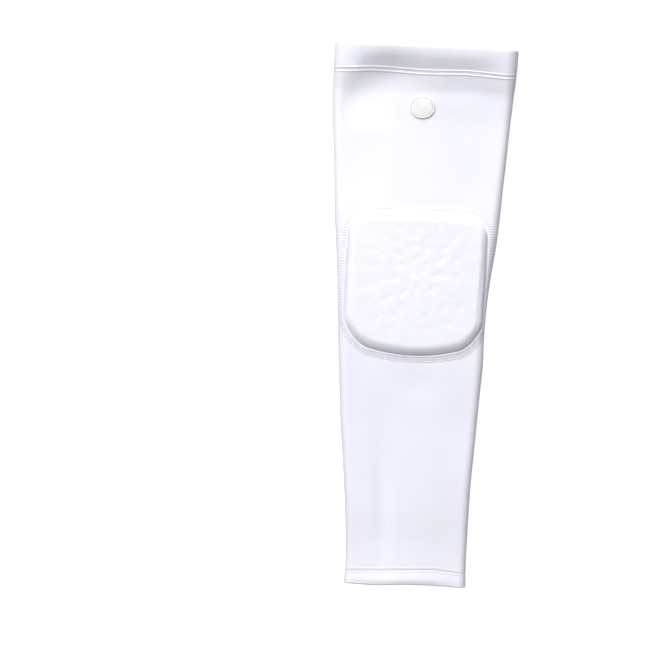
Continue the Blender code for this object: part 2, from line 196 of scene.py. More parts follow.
# How far the front layer stands above the sides near the open mouth, in millimetres: at the fold, on
# the hem, at its seam and over the knit below it.
Front = namedtuple("Front", "across fold crest brow slope low seam near middle far")
FRONT_DISTANCES = (0.0, 0.003, 0.0075, 0.012, 0.016, 0.0183, 0.024, 0.031, 0.040)
FRONTS = (
    Front(-1.00, 0.0, 0.0, 0.0, 0.0, 0.0, 0.0, 0.0, 0.0, 0.0),
    Front(-0.93, 1.3, 1.4, 1.0, 0.5, 0.4, 0.3, -0.2, -0.6, -1.0),
    Front(-0.80, 3.2, 3.4, 2.9, 1.8, 0.7, 0.2, -1.0, -1.7, -1.9),
    Front(-0.55, 4.6, 4.8, 3.9, 2.0, 0.3, -0.4, -1.5, -1.5, -0.9),
    Front(-0.30, 4.6, 4.8, 3.9, 2.0, 0.4, -0.2, -0.6, 0.0, 0.7),
    Front(0.00, 4.2, 4.4, 3.8, 2.3, 0.9, 0.6, 0.5, 0.9, 1.6),
    Front(0.30, 3.9, 4.1, 3.7, 2.4, 1.1, 0.8, 0.6, 0.7, 1.3),
    Front(0.60, 3.0, 3.2, 3.0, 1.9, 0.8, 0.6, 0.3, 0.1, 0.5),
    Front(0.85, 0.9, 1.1, 1.1, 0.7, 0.3, 0.2, 0.1, -0.1, 0.0),
    Front(1.00, 0.0, 0.0, 0.0, 0.0, 0.0, 0.0, 0.0, 0.0, 0.0),
)
LEVEL_DISTANCES = (0.060, 0.076)  # from here on the front has only its crown

# How far each edge and seam strays along the sleeve, as a share of SEAM_WAVE, towards the wrist.
Wave = namedtuple("Wave", "across mouth upper wrist cuff")
WAVES = (
    Wave(-1.0, -2.4, 0.1, 0.3, -0.7),
    Wave(-0.6, -2.3, -1.3, 0.0, -0.2),
    Wave(0.0, -2.2, 0.0, -1.3, -1.3),
    Wave(0.5, -1.7, -0.6, -2.0, -1.4),
    Wave(0.8, -1.0, 0.3, -1.2, -1.1),
    Wave(1.0, -0.1, 1.1, -0.3, -0.6),
)
WAVE_REACH = 0.10

# Soft dents in the front layer, as shares of the sleeve's length, half width and DENT_DEPTH.
Dent = namedtuple("Dent", "share across length breadth depth")
DENTS = (
    Dent(0.625, 0.12, 0.030, 0.38, 0.45),
    Dent(0.850, -0.46, 0.120, 0.17, 1.00),
    Dent(0.910, 0.62, 0.060, 0.20, 0.25),
)

# The face of a hem from its fold (place 0) to its seam (place 1), lift as a share of HEM_FORM.
Face = namedtuple("Face", "place upper wrist")
HEM_FACE = (
    Face(0.00, -0.25, -0.20),
    Face(0.10, 0.00, 0.40),
    Face(0.30, 0.05, 0.85),
    Face(0.50, 0.00, 0.65),
    Face(0.80, -0.20, 0.15),
    Face(0.91, -0.30, 0.00),
    Face(0.96, -0.15, 0.00),
    Face(1.00, 0.00, 0.00),
)


# Smooth tables


def smooth_at(keys, values, at):
    """The value at a place between the keys, on a smooth curve through all the values."""
    at = min(max(at, keys[0]), keys[-1])
    last = len(keys) - 2
    index = min(sum(at >= k for k in keys[1:]), last)

    def slope(i):
        low, high = max(i - 1, 0), min(i + 1, last + 1)
        return (values[high] - values[low]) / (keys[high] - keys[low])

    span = keys[index + 1] - keys[index]
    t = (at - keys[index]) / span
    return (
        (2 * t**3 - 3 * t**2 + 1) * values[index]
        + (t**3 - 2 * t**2 + t) * span * slope(index)
        + (3 * t**2 - 2 * t**3) * values[index + 1]
        + (t**3 - t**2) * span * slope(index + 1)
    )


def smooth_column(rows, key, column, at):
    """The column's value where the key column is at, on a smooth curve through the rows."""
    keys = [getattr(row, key) for row in rows]
    return smooth_at(keys, [getattr(row, column) for row in rows], at)


def eased(t):
    t = min(max(t, 0.0), 1.0)
    return t * t * (3 - 2 * t)


def risen(value, low, high):
    return eased((value - low) / (high - low))


def eased_column(anchors, at):
    """The value at a place along (place, value) anchors, level at each of them."""
    for (low, first), (high, second) in zip(anchors, anchors[1:]):
        if at <= high:
            return first + (second - first) * risen(at, low, high)
    return anchors[-1][1]


def hump(distance, width):
    return math.exp(-((distance / width) ** 2))


# The sleeve's surface


@lru_cache(maxsize=None)
def front_column(across):
    """The front layer's heights near the mouth along one line of the sleeve, in metres."""
    columns = Front._fields[1:]
    return [smooth_column(FRONTS, "across", column, across) / 1000 for column in columns]


class SleeveSection:
    """One cross-section: a flat underside, two half-round sides of one radius and a crowned front."""

    def __init__(self, share):
        self.share = min(max(share, 0.0), 1.0)
        width = smooth_column(SECTIONS, "share", "width", self.share)
        side = smooth_column(SECTIONS, "share", "side", self.share)
        self.radius = SIDE_HEIGHT * side / 2
        self.flat = (WRIST_WIDTH + (UPPER_WIDTH - WRIST_WIDTH) * width) / 2 - self.radius
        self.crown = CROWN * smooth_column(SECTIONS, "share", "crown", self.share)
        self.middle = -BOW * smooth_column(SECTIONS, "share", "bow", self.share)
        self.side_length = math.pi * self.radius
        self.half_girth = 2 * self.flat + self.side_length
        self.dents = [
            (dent, DENT_DEPTH * dent.depth * hump(self.share - dent.share, dent.length))
            for dent in DENTS
        ]

    def front_height(self, across):
        crown = (1 - across**2) ** 2 * self.crown
        distance = self.share * SLEEVE_LENGTH
        if distance < LEVEL_DISTANCES[-1]:
            column = front_column(round(across, 3))
            level = (1 - across**2) ** 2 * CROWN
            crown = smooth_at(FRONT_DISTANCES + LEVEL_DISTANCES, column + [level, level], distance)
        dents = sum(depth * hump(across - dent.across, dent.breadth) for dent, depth in self.dents)
        return 2 * self.radius + crown - (1 - across**4) * dents

    def point(self, along, lift):
        """(x, z) at a distance along the section from the middle of its front, lifted off the knit."""
        side = math.copysign(1.0, along)
        reach = abs(along)
        if reach <= self.flat:
            step = 0.01
            across = reach * side / self.flat
            ahead = self.front_height(min(across + step, 1.0))
            behind = self.front_height(max(across - step, -1.0))
            slope = (ahead - behind) / (2 * step * self.flat)
            tilt = math.hypot(slope, 1.0)
            return (
                self.middle + along - lift * slope / tilt,
                self.front_height(across) + lift / tilt,
            )
        if reach <= self.flat + self.side_length:
            turn = (reach - self.flat) / self.radius
            out = self.radius + lift
            return (
                self.middle + side * (self.flat + out * math.sin(turn)),
                self.radius + out * math.cos(turn),
            )
        return self.middle + side * (self.half_girth - reach), -lift

    def off_the_table(self, along):
        """1 over the front, falling to 0 round the sides, where the sleeve rests on the table."""
        return 1 - eased((abs(along) - self.flat) / (0.8 * self.side_length))


@lru_cache(maxsize=None)
def section_at(distance):
    return SleeveSection(distance / SLEEVE_LENGTH)


@lru_cache(maxsize=None)
def wave_at(column, across):
    return smooth_column(WAVES, "across", column, across)


def strayed(distance, across):
    """How far a point moves towards the wrist as the wavy seams near it stray."""
    reach = WAVE_REACH * SLEEVE_LENGTH
    wrist_seam = SLEEVE_LENGTH - WRIST_HEM
    across = round(across, 3)
    anchors = (
        (0.0, wave_at("mouth", across)),
        (UPPER_HEM, wave_at("upper", across)),
        (UPPER_HEM + reach, 0.0),
        (wrist_seam - reach, 0.0),
        (wrist_seam, wave_at("wrist", across)),
        (SLEEVE_LENGTH, wave_at("cuff", across)),
    )
    return SEAM_WAVE * eased_column(anchors, distance)


def drape(along, distance):
    """The knit's own slow unevenness, with fine puckers beside the two seams."""
    slow = noise.noise(Vector((along / 0.034, distance / 0.046, 3.1)))
    quick = noise.noise(Vector((along / 0.013, distance / 0.021, 7.7)))
    seam = min(abs(distance - UPPER_HEM), abs(distance - SLEEVE_LENGTH + WRIST_HEM))
    pucker = noise.noise(Vector((along / 0.0042, distance / 0.030, 1.3)))
    return DRAPE * (slow + 0.35 * quick) + PUCKER * pucker * math.exp(-seam / 0.007)


def on_sleeve(along, distance, lift):
    """A point over the sleeve: along round the section, distance from the mouth, lift off the knit."""
    section = section_at(round(distance, 6))
    resting = section.off_the_table(along)
    x, z = section.point(along, lift + resting * drape(along, distance))
    reach = abs(along)
    across = math.copysign(min(reach / section.flat, 1.0), along)
    round_side = min(max((reach - section.flat) / section.side_length, 0.0), 1.0)
    shift = strayed(distance, across) * (1 - round_side)
    shift -= BACK_TUCK * round_side * eased((distance - SLEEVE_LENGTH) / WRIST_HEM + 1)
    return Vector((x, MIDDLE_FROM_MOUTH - distance - shift, z))


def girth_places(section):
    """Distances round the section, from the middle of the underside over the front and back again."""
    stops = (
        (-section.half_girth, BACK_STEPS // 2),
        (-section.flat - section.side_length, SIDE_STEPS),
        (-section.flat, FRONT_STEPS),
        (section.flat, SIDE_STEPS),
        (section.flat + section.side_length, BACK_STEPS // 2),
        (section.half_girth, 0),
    )
    places = []
    for (start, steps), (end, _) in zip(stops, stops[1:]):
        places += [start + (end - start) * step / steps for step in range(steps)]
    return places + [section.half_girth]


# Making pieces


def shaped_grid(columns, rows, place, **patterns):
    """A mesh made from a flat grid whose corner in column i and row j goes to place(i, j).

    Each pattern is a UV map of its own: cloth(i, j) is the corner's place on the flat cloth in metres.
    """
    shape = bmesh.new()
    bmesh.ops.create_grid(shape, x_segments=columns, y_segments=rows, size=1.0)
    maps = [(shape.loops.layers.uv.new(name), pattern) for name, pattern in patterns.items()]
    corners = {}
    for vert in shape.verts:
        column = round((vert.co.x + 1) / 2 * columns)
        row = round((vert.co.y + 1) / 2 * rows)
        corners[vert] = (column, row)
    for face in shape.faces:
        for loop in face.loops:
            for layer, pattern in maps:
                loop[layer].uv = pattern(*corners[loop.vert])
    for vert, corner in corners.items():
        vert.co = place(*corner)
    bmesh.ops.remove_doubles(shape, verts=shape.verts, dist=WELD)
    bmesh.ops.recalc_face_normals(shape, faces=shape.faces)
    return shape


def finished_piece(name, shape, material, replaced=None):
    mesh = bpy.data.meshes.new(name)
    shape.to_mesh(mesh)
    shape.free()
    mesh.shade_smooth()
    mesh.materials.append(material)
    piece = bpy.data.objects.new(name, mesh)
    bpy.context.scene.collection.objects.link(piece)
    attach(piece, "root")
    if replaced:
        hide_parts(replaced)
    return piece


def plain_stitch():
    """A round thread end to end, 2 long and 2 thick, which each stitch is a stretched copy of."""
    shape = bmesh.new()
    bmesh.ops.create_uvsphere(shape, u_segments=8, v_segments=6, radius=1.0)
    mesh = bpy.data.meshes.new("stitch")
    shape.to_mesh(mesh)
    shape.free()
    return mesh


def add_stitch(shape, stitch, start, end, up, thickness):
    """One visible length of thread, thickest in its middle and sinking into the cloth at both ends."""
    along = end - start
    side = up.cross(along).normalized()
    basis = Matrix((along.normalized(), side, along.cross(side).normalized())).transposed()
    size = Matrix.Diagonal((along.length / 2, thickness / 2, thickness / 2))
    laid = stitch.copy()
    laid.transform(Matrix.Translation((start + end) / 2) @ (basis @ size).to_4x4())
    shape.from_mesh(laid)
    bpy.data.meshes.remove(laid)


def add_wall(piece, thickness):
    """Thickens a skin inwards from its outer face."""
    wall = piece.modifiers.new("wall", "SOLIDIFY")
    wall.thickness = thickness
    wall.offset = -1.0
    wall.use_even_offset = True


# Knit tube


def seam_lift(from_seam, ridge, resting):
    """The swell of the knit over a needle line, or on the underside the groove of that line."""
    line = hump(from_seam - NEEDLE_SPREAD, RIDGE_WIDTH)
    return line * (resting * ridge - (1 - resting) * NEEDLE_GROOVE)


def tube_distances():
    start = UPPER_HEM + SEAM_GAP / 2
    end = SLEEVE_LENGTH - WRIST_HEM - SEAM_GAP / 2
    fine = round(SEAM_REACH / SEAM_ROW)
    upper = [start + step * SEAM_ROW for step in range(fine + 1)]
    lower = [end - step * SEAM_ROW for step in reversed(range(fine + 1))]
    span = lower[0] - upper[-1]
    rows = round(span / ROW_LENGTH)
    return upper + [upper[-1] + span * row / rows for row in range(1, rows)] + lower


def make_knit_tube(material):
    distances = tube_distances()
    sections = [section_at(round(distance, 6)) for distance in distances]
    rings = [girth_places(section) for section in sections]
    start, end = distances[0], distances[-1]

    def place(column, row):
        along = rings[row][column]
        resting = sections[row].off_the_table(along)
        from_upper = distances[row] - start
        from_wrist = end - distances[row]
        lift = seam_lift(from_upper, UPPER_RIDGE, resting)
        lift += seam_lift(from_wrist, WRIST_RIDGE, resting)
        return on_sleeve(along, distances[row], lift)

    def cloth(column, row):
        return rings[row][column], distances[row]

    shape = shaped_grid(len(rings[0]) - 1, len(distances) - 1, place, cloth=cloth)
    tube = finished_piece("knit_tube", shape, material, "sleeve_tube")
    add_wall(tube, WALL)
    girths = [2 * section.half_girth for section in sections]
    gaps = [second - first for first, second in zip(distances, distances[1:])]
    area = sum(gap * (a + b) / 2 for gap, a, b in zip(gaps, girths, girths[1:]))


# Turned-under hems


HemRow = namedtuple("HemRow", "from_fold lift layer")


def hem_rows(length, column):
    """The hem's section: over its face from the seam to the fold, round the fold and back inside."""

    def face_lift(distance):
        return HEM_FORM * smooth_column(HEM_FACE, "place", column, distance / length)

    half = HEM_THICKNESS / 2
    fine = round(SEAM_REACH / SEAM_ROW)
    seam = [length - step * SEAM_ROW for step in range(fine)]
    rest = seam[-1] - half
    steps = round(rest / (ROW_LENGTH / 3))
    face = [seam[-1] - rest * step / steps for step in range(1, steps + 1)]
    outside = [HemRow(distance, face_lift(distance), "face") for distance in seam + face]
    fold_lift = outside[-1].lift
    turns = [math.pi * step / 10 for step in range(1, 11)]
    fold = [
        HemRow(half - half * math.sin(turn), fold_lift + half * (math.cos(turn) - 1), "fold")
        for turn in turns
    ]
    back = [half + (length - half) * step / 12 for step in range(1, 13)]
    inside = [HemRow(distance, face_lift(distance) - 2 * half, "inside") for distance in back]
    return outside + fold + inside


def make_hem(name, node, rows, length, ridge, from_mouth, material):
    distances = [from_mouth(row.from_fold) for row in rows]
    sections = [section_at(round(distance, 6)) for distance in distances]
    rings = [girth_places(section) for section in sections]
    outline = [0.0]
    for before, after in zip(rows, rows[1:]):
        step = math.hypot(after.from_fold - before.from_fold, after.lift - before.lift)
        outline.append(outline[-1] + step)

    def place(column, row):
        from_fold, lift, layer = rows[row]
        along = rings[row][column]
        section = sections[row]
        resting = section.off_the_table(along)
        if layer == "inside":
            lift = -HEM_THICKNESS + resting * (lift + HEM_THICKNESS)
        if layer != "face":
            return on_sleeve(along, distances[row], lift)
        across = abs(along) / section.flat
        shape_share = resting * (1 - 0.6 * eased(across**2))
        seam = seam_lift(length - from_fold, ridge, resting)
        return on_sleeve(along, distances[row], lift * shape_share + seam)

    def cloth(column, row):
        return rings[row][column], outline[row]

    shape = shaped_grid(len(rings[0]) - 1, len(rows) - 1, place, cloth=cloth)
    hem = finished_piece(name, shape, material, node)
    add_wall(hem, HEM_LAYER)


# Elbow pad


def pad_ring(inset, scale, clear=0.0):
    """(across, towards the upper arm) round the pad's outline, inset and then scaled to its middle.

    The inset is the one at the pad's ends, and shrinks to that of the narrower bevel at its sides.
    clear is a further inset that is the same all round.
    """
    side_inset = inset * (PAD_SIDE_BEVEL / PAD_BEVEL if inset > 0 else 1) + clear
    end_inset = inset + clear
    half_width = PAD_WIDTH / 2 - side_inset
    half_length = PAD_LENGTH / 2 - end_inset
    corners = (
        (1, 1, PAD_UPPER_CORNER, 0),
        (-1, 1, PAD_UPPER_CORNER, 90),
        (-1, -1, PAD_LOWER_CORNER, 180),
        (1, -1, PAD_LOWER_CORNER, 270),
    )
    arcs = []
    for side, end, corner, first_angle in corners:
        radii = Vector((corner - side_inset, corner - end_inset))
        centre = Vector((side * (half_width - radii.x), end * (half_length - radii.y)))
        angles = [first_angle + 90 * step / CORNER_STEPS for step in range(CORNER_STEPS + 1)]
        turns = [math.radians(angle) for angle in angles]
        arcs.append([centre + radii * Vector((math.cos(t), math.sin(t))) for t in turns])
    ring = []
    for arc, following in zip(arcs, arcs[1:] + arcs[:1]):
        ring += arc
        ring += [arc[-1].lerp(following[0], step / EDGE_STEPS) for step in range(1, EDGE_STEPS)]
    return [bulged(point, half_width, half_length) * scale for point in ring + ring[:1]]


def bulged(point, half_width, half_length):
    """A point of the pad's outline with the sides bowed out and narrowed towards the wrist."""
    across, up = point
    out_across = 1 + PAD_SIDE_BULGE * (1 - (up / half_length) ** 2)
    end_bulge = PAD_UPPER_BULGE if up > 0 else PAD_LOWER_BULGE
    out_up = end_bulge * (1 - (across / half_width) ** 2) * up / half_length
    narrowing = 1 - PAD_TAPER * (0.5 - up / (2 * half_length))
    return Vector((across * out_across * narrowing, up + out_up))


def pad_point(flat_point, lift):
    return on_sleeve(PAD_SHIFT + flat_point.x, PAD_FROM_MOUTH - flat_point.y, lift)


def bevel_rise(inset):
    """Share of the pad's rise at an inset from its foot: a short steep foot, then a soft round."""
    soft = 1 - (1 - min(max(inset / PAD_BEVEL, 0.0), 1.0)) ** 2
    return PAD_FOOT * eased(inset / PAD_FOOT_WIDTH) + (1 - PAD_FOOT) * soft


PadRow = namedtuple("PadRow", "inset scale lift cells clear beading", defaults=(0.0, 0.0, 0.0))
Petals = namedtuple("Petals", "radius count turn length width")
PETAL_RINGS = (
    Petals(0.006, 4, 0.3, 0.0030, 0.0021),
    Petals(0.014, 8, 0.1, 0.0031, 0.0022),
    Petals(0.022, 12, 0.25, 0.0032, 0.0022),
    Petals(0.030, 15, 0.0, 0.0030, 0.0022),
    Petals(0.038, 18, 0.4, 0.0028, 0.0020),
)


def petal_dents():
    """Places of the soft dents in the foam's face, in loose rings round its middle."""
    dents = []
    for ring in PETAL_RINGS:
        for step in range(ring.count):
            turn = 2 * math.pi * (step + ring.turn) / ring.count
            seed = Vector((ring.radius * 1000, step * 1.7, 0.4))
            stray = Vector((noise.noise(seed * 0.7), noise.noise(seed * 1.9))) * DENT_STRAY
            centre = Vector((math.cos(turn), math.sin(turn))) * ring.radius + stray
            lean = turn + DENT_LEAN * (step + ring.count)
            depth = 0.6 + 0.3 * noise.noise(seed * 2.1)
            dents.append((centre, Vector((math.cos(lean), math.sin(lean))), ring, depth))
    return dents


FOAM_DENTS = petal_dents()


def cell_relief(point):
    """How far the cover sinks over the foam's shallow dents at a point of the pad's flat plan."""
    swell_place = Vector((point.x / CELL_UNEVENNESS, point.y / CELL_UNEVENNESS, 5.2))
    sink = 0.35 * noise.noise(swell_place)
    for centre, lean, ring, depth in FOAM_DENTS:
        away = point - centre
        if away.length < DENT_REACH:
            across = away.x * lean.y - away.y * lean.x
            sink += depth * hump(away.dot(lean), ring.length) * hump(across, ring.width)
    return -CELL_DEPTH * sink


def spread(start, end, steps):
    return [start + (end - start) * step / steps for step in range(steps)]


def cover_rows():
    """The cover's section: inside from its middle to the flange's edge, and outside back again."""
    under = COVER_GAP
    over = COVER_GAP + FLANGE_THICKNESS
    inner_top = PAD_RISE - COVER_THICKNESS
    thick = COVER_THICKNESS
    rows = [PadRow(PAD_BEVEL, scale, inner_top, clear=thick) for scale in spread(0.0, 1.0, 8)]
    for inset in spread(PAD_BEVEL, 0.0, 10):
        lift = under + (inner_top - under) * bevel_rise(inset)
        rows.append(PadRow(inset, 1.0, lift, clear=thick))
    rows += [PadRow(0.0, 1.0, under, clear=clear) for clear in spread(thick, -FLANGE_WIDTH, 6)]
    rows.append(PadRow(-FLANGE_WIDTH, 1.0, under))
    for inset in spread(-FLANGE_WIDTH, -0.0001, 24):
        beading = WELT_HEIGHT * hump(inset - WELT_INSET, WELT_WIDTH)
        beading -= CREASE_DEPTH * hump(inset - CREASE_INSET, CREASE_WIDTH)
        thickness = (inset + FLANGE_WIDTH) / (FLANGE_WIDTH + LADDER_INNER)
        lift = under + FLANGE_EDGE + (FLANGE_THICKNESS - FLANGE_EDGE) * eased(thickness)
        rows.append(PadRow(inset, 1.0, lift, beading=beading))
    for share in spread(0.0, 1.0, 18):
        inset = PAD_BEVEL * share**1.6
        cells = eased((inset / PAD_BEVEL - 0.4) / 0.6)
        lift = over + (PAD_RISE - over) * bevel_rise(inset)
        rows.append(PadRow(inset, 1.0, lift, cells=cells))
    rows += [PadRow(PAD_BEVEL, 1 - scale, PAD_RISE, cells=1.0) for scale in spread(0.0, 1.0, 30)]
    rows.append(PadRow(PAD_BEVEL, 0.0, PAD_RISE, cells=1.0))
    return rows


def foam_rows():
    """The foam's section, from the middle of its underside round its edge to the middle of its top."""
    clear = COVER_THICKNESS + FOAM_GAP
    rows = [PadRow(PAD_BEVEL, scale, FOAM_GAP, clear=clear) for scale in spread(0.0, 1.0, 8)]
    rows += [PadRow(inset, 1.0, FOAM_GAP, clear=clear) for inset in spread(PAD_BEVEL, 0.0, 5)]
    climb = PAD_RISE - clear - FOAM_GAP
    for share in spread(0.0, 1.0, 10):
        inset = PAD_BEVEL * share**1.6
        rows.append(PadRow(inset, 1.0, FOAM_GAP + climb * bevel_rise(inset), clear=clear))
    top = PAD_RISE - clear
    rows += [PadRow(PAD_BEVEL, 1 - scale, top, 1.0, clear) for scale in spread(0.0, 1.0, 12)]
    rows.append(PadRow(PAD_BEVEL, 0.0, top, 1.0, clear))
    return rows


def ladder_shares():
    """Each outline point's share of the way round the ladder stitch, and its number of stitches."""
    ring = pad_ring(LADDER_OUTER, 1.0)
    lengths = [0.0]
    for before, after in zip(ring, ring[1:]):
        lengths.append(lengths[-1] + (after - before).length)
    return [length / lengths[-1] for length in lengths], round(lengths[-1] / LADDER_PITCH)


def drawn_in(point):
    """How firmly the seam draws the cover in: fully below and at the left, not above or at the right."""
    above = eased((PAD_LENGTH / 2 - point.y) / FLAT_TOWARDS_END)
    right = risen(point.x, *FLAT_AT_RIGHT) * risen(point.y, *FLAT_ABOVE)
    return above * (1 - right)


def pad_shape(rows):
    """The pad's cloth or foam. Its sewing map counts ladder stitches across and insets along."""
    rings = [pad_ring(row.inset, row.scale, row.clear) for row in rows]
    shares, stitches = ladder_shares()

    def place(column, row):
        point = rings[row][column]
        relief = rows[row].cells * cell_relief(point) if rows[row].cells else 0.0
        relief += rows[row].beading * drawn_in(point)
        return pad_point(point, rows[row].lift + relief)

    def cloth(column, row):
        return rings[row][column]

    def sewing(column, row):
        return shares[column] * stitches, rows[row].inset

    return shaped_grid(len(rings[0]) - 1, len(rows) - 1, place, cloth=cloth, sewing=sewing)


def make_pad(cover_material, foam_material):
    cover = finished_piece(
        "pad_fabric", pad_shape(cover_rows()), cover_material, "pad_cover"
    )
    foam = finished_piece("foam_block", pad_shape(foam_rows()), foam_material, "foam_core")


# Stitching


def make_ladder_stitching(material):
    """Bars of thread across the pad's flange, with a row of short stitches along their inner ends."""
    inner, outer = pad_ring(LADDER_INNER, 1.0), pad_ring(LADDER_OUTER, 1.0)
    shares, count = ladder_shares()
    top = COVER_GAP + FLANGE_THICKNESS + LADDER_THREAD / 6
    edge = COVER_GAP + FLANGE_EDGE + LADDER_THREAD / 3

    def on_ring(ring, share, lift):
        column = max(i for i, start in enumerate(shares[:-1]) if start <= share)
        part = (share - shares[column]) / (shares[column + 1] - shares[column])
        return pad_point(ring[column].lerp(ring[column + 1], part), lift)

    shape = bmesh.new()
    stitch = plain_stitch()
    for step in range(count):
        first, last = step / count, (step + 0.8) / count
        start, end = on_ring(inner, first, top), on_ring(outer, first, edge)
        up = on_ring(inner, first, top + 0.001) - start
        add_stitch(shape, stitch, start, end, up, LADDER_THREAD)
        row_start, row_end = on_ring(inner, first, top), on_ring(inner, last, top)
        add_stitch(shape, stitch, row_start, row_end, up, LADDER_THREAD)
    finished_piece("pad_stitching", shape, material)


def make_hem_stitching(name, seam, ridge, proud, material):
    """Two lines of stitches round the sleeve, one on each side of a hem's seam."""
    shape = bmesh.new()
    stitch = plain_stitch()
    for line in (seam - NEEDLE_SPREAD, seam + NEEDLE_SPREAD):
        section = section_at(round(line, 6))
        count = round(2 * section.half_girth / HEM_STITCH_PITCH)
        for step in range(count):
            first = -section.half_girth + 2 * section.half_girth * step / count
            last = first + HEM_STITCH
            resting = section.off_the_table((first + last) / 2)
            lift = seam_lift(NEEDLE_SPREAD, ridge, resting) + resting * proud
            lift += (1 - resting) * HEM_THREAD / 3
            start, end = on_sleeve(first, line, lift), on_sleeve(last, line, lift)
            up = on_sleeve(first, line, lift + 0.001) - start
            add_stitch(shape, stitch, start, end, up, HEM_THREAD)
    finished_piece(name, shape, material)


# Badge


def make_badge(material):
    """A plain oval of raised silicone, with a round rim and a slightly domed middle."""
    base = COVER_GAP
    top = base + BADGE_THICKNESS
    rim = 2 * BADGE_RIM / BADGE_WIDTH
    rows = [(scale, base) for scale in spread(0.0, 1.0, 3)]
    rows.append((1.0, base))
    for turn in spread(0.0, math.pi, 12):
        scale = 1 - rim / 2 + rim / 2 * math.cos(turn)
        rows.append((scale, base + BADGE_THICKNESS * (0.35 + 0.65 * math.sin(turn))))
    for scale in spread(1 - rim, 0.0, 8):
        rows.append((scale, top - BADGE_THICKNESS * (0.35 - 0.25 * (1 - scale**2))))
    rows.append((0.0, top - BADGE_THICKNESS * 0.10))

    def flat_place(column, row):
        turn = 2 * math.pi * column / BADGE_STEPS
        scale = rows[row][0]
        return Vector((BADGE_WIDTH * math.cos(turn), BADGE_LENGTH * math.sin(turn))) * scale / 2

    def place(column, row):
        point = flat_place(column, row)
        return on_sleeve(point.x, BADGE_FROM_MOUTH - point.y, rows[row][1])

    shape = shaped_grid(BADGE_STEPS, len(rows) - 1, place, cloth=flat_place)
    finished_piece("silicone_badge", shape, material, "badge")


# Materials


class Nodes:
    """A material's node tree, with short calls for the nodes that the sleeve's finishes share."""

    def __init__(self, name, roughness, colour):
        self.material = bpy.data.materials.new(name)
        self.material.use_nodes = True
        self.tree = self.material.node_tree
        self.shader = self.tree.nodes["Principled BSDF"]
        self.shader.inputs["Roughness"].default_value = roughness
        self.shader.inputs["Base Color"].default_value = (*colour, 1.0)

    def add(self, kind, **settings):
        node = self.tree.nodes.new(kind)
        for setting, value in settings.items():
            setattr(node, setting, value)
        return node

    def link(self, output, target):
        self.tree.links.new(output, target)

    def cloth_place(self, across, along):
        """The place on the flat cloth, in repeats of the given lengths in metres."""
        cloth = self.add("ShaderNodeUVMap", uv_map="cloth")
        mapping = self.add("ShaderNodeMapping")
        mapping.inputs["Scale"].default_value = (1 / across, 1 / along, 1.0)
        self.link(cloth.outputs["UV"], mapping.inputs["Vector"])
        return mapping.outputs["Vector"]

    def object_place(self):
        return self.add("ShaderNodeTexCoord").outputs["Object"]

    def noise(self, place, scale, detail=2.0, roughness=0.5):
        node = self.add("ShaderNodeTexNoise")
        node.inputs["Scale"].default_value = scale
        node.inputs["Detail"].default_value = detail
        node.inputs["Roughness"].default_value = roughness
        self.link(place, node.inputs["Vector"])
        return node.outputs["Fac"]

    def math(self, operation, first, second=None, third=None):
        node = self.add("ShaderNodeMath", operation=operation)
        for slot, value in enumerate((first, second, third)):
            if value is None:
                continue
            if isinstance(value, (int, float)):
                node.inputs[slot].default_value = value
            else:
                self.link(value, node.inputs[slot])
        return node.outputs[0]

    def clamped(self, value):
        return self.math("MINIMUM", self.math("MAXIMUM", value, 0.0), 1.0)

    def colours(self, fac, low, high, start=0.35, end=0.65):
        ramp = self.add("ShaderNodeValToRGB")
        ramp.color_ramp.elements[0].position = start
        ramp.color_ramp.elements[0].color = (*low, 1.0)
        ramp.color_ramp.elements[1].position = end
        ramp.color_ramp.elements[1].color = (*high, 1.0)
        self.link(fac, ramp.inputs["Fac"])
        self.link(ramp.outputs["Color"], self.shader.inputs["Base Color"])
        return ramp.outputs["Color"]

    def darkened(self, colour, share, tint):
        node = self.add("ShaderNodeMix", data_type="RGBA", blend_type="MULTIPLY")
        node.inputs["B"].default_value = (*tint, 1.0)
        self.link(share, node.inputs["Factor"])
        self.link(colour, node.inputs["A"])
        return node.outputs["Result"]

    def bump(self, height, depth, under=None):
        node = self.add("ShaderNodeBump")
        node.inputs["Strength"].default_value = 1.0
        node.inputs["Distance"].default_value = depth
        self.link(height, node.inputs["Height"])
        if under:
            self.link(under, node.inputs["Normal"])
        self.link(node.outputs["Normal"], self.shader.inputs["Normal"])
        return node.outputs["Normal"]


def knit_finish(name, low, high, roughness, wale, course, depth, sewn=False):
    """Stretch knit: columns of small loops, fine fuzz and a slow change of tone."""
    nodes = Nodes(name, roughness, high)
    nodes.shader.inputs["Sheen Weight"].default_value = 0.12
    nodes.shader.inputs["Sheen Roughness"].default_value = 0.4
    nodes.shader.inputs["Specular IOR Level"].default_value = 0.35
    loops = nodes.add("ShaderNodeSeparateXYZ")
    nodes.link(nodes.cloth_place(wale, course), loops.inputs["Vector"])
    across = nodes.math("MULTIPLY", loops.outputs["X"], math.tau)
    along = nodes.math("MULTIPLY", loops.outputs["Y"], math.tau)
    lean = nodes.math("SINE", across)
    columns = nodes.math("ABSOLUTE", nodes.math("SINE", nodes.math("MULTIPLY", across, 0.5)))
    rows = nodes.math("SINE", nodes.math("ADD", along, lean))
    loop_height = nodes.math("MULTIPLY_ADD", rows, 0.3, columns)
    fuzz = nodes.noise(nodes.object_place(), 2600.0, 3.0, 0.6)
    height = nodes.math("MULTIPLY_ADD", fuzz, 0.5, loop_height)
    weave = nodes.bump(height, depth)
    tone = nodes.noise(nodes.object_place(), 26.0, 2.0)
    colour = nodes.colours(tone, low, high)
    if sewn:
        add_sewn_band(nodes, weave, colour)
    return nodes.material


